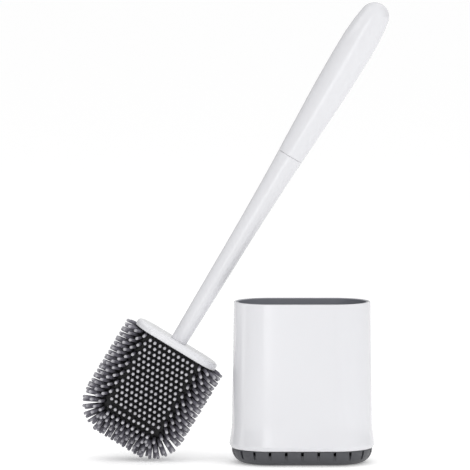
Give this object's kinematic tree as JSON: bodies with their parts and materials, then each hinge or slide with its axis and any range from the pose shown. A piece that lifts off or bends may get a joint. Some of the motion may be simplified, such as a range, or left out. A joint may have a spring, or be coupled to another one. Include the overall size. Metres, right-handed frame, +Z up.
{
  "type": "toilet brush and holder",
  "caption": "Toilet brush with a flat soft-bristled head on a long tapered handle, standing beside its oval holder with a lift-off shell and a vented drip base.",
  "frame": {"origin": "centre of the holder's flat underside, on the floor", "axes": "+Z up, X along the holder's long side with the brush on the -X side leaning towards +X, -Y towards the front of the brush head"},
  "size_m": [0.2593, 0.0753, 0.3873],
  "materials": {
    "white_plastic": "glossy white moulding",
    "grey_plastic": "satin dark grey moulding",
    "core_plastic": "plain moulding, hidden",
    "bristle_rubber": "soft matte grey thermoplastic rubber"
  },
  "bodies": {
    "base": {"vented_base": "grey_plastic"},
    "housing": {"outer_shell": "white_plastic", "inner_liner": "grey_plastic"},
    "brush": {"grip": "white_plastic", "rod": "white_plastic", "head_plate": "white_plastic", "head_core": "core_plastic", "head_sleeve": "bristle_rubber", "front_bristles": "bristle_rubber", "back_bristles": "bristle_rubber", "left_bristles": "bristle_rubber", "right_bristles": "bristle_rubber", "bottom_bristles": "bristle_rubber"}
  },
  "joints": [
    {"name": "housing_lift", "type": "slide", "parent": "base", "child": "housing", "axis": [0, 0, 1], "range_m": [0, 0.0116]},
    {"name": "brush_lift", "type": "slide", "parent": "base", "child": "brush", "axis": [0, 0, 1], "range_m": [0, 0.2]}
  ]
}
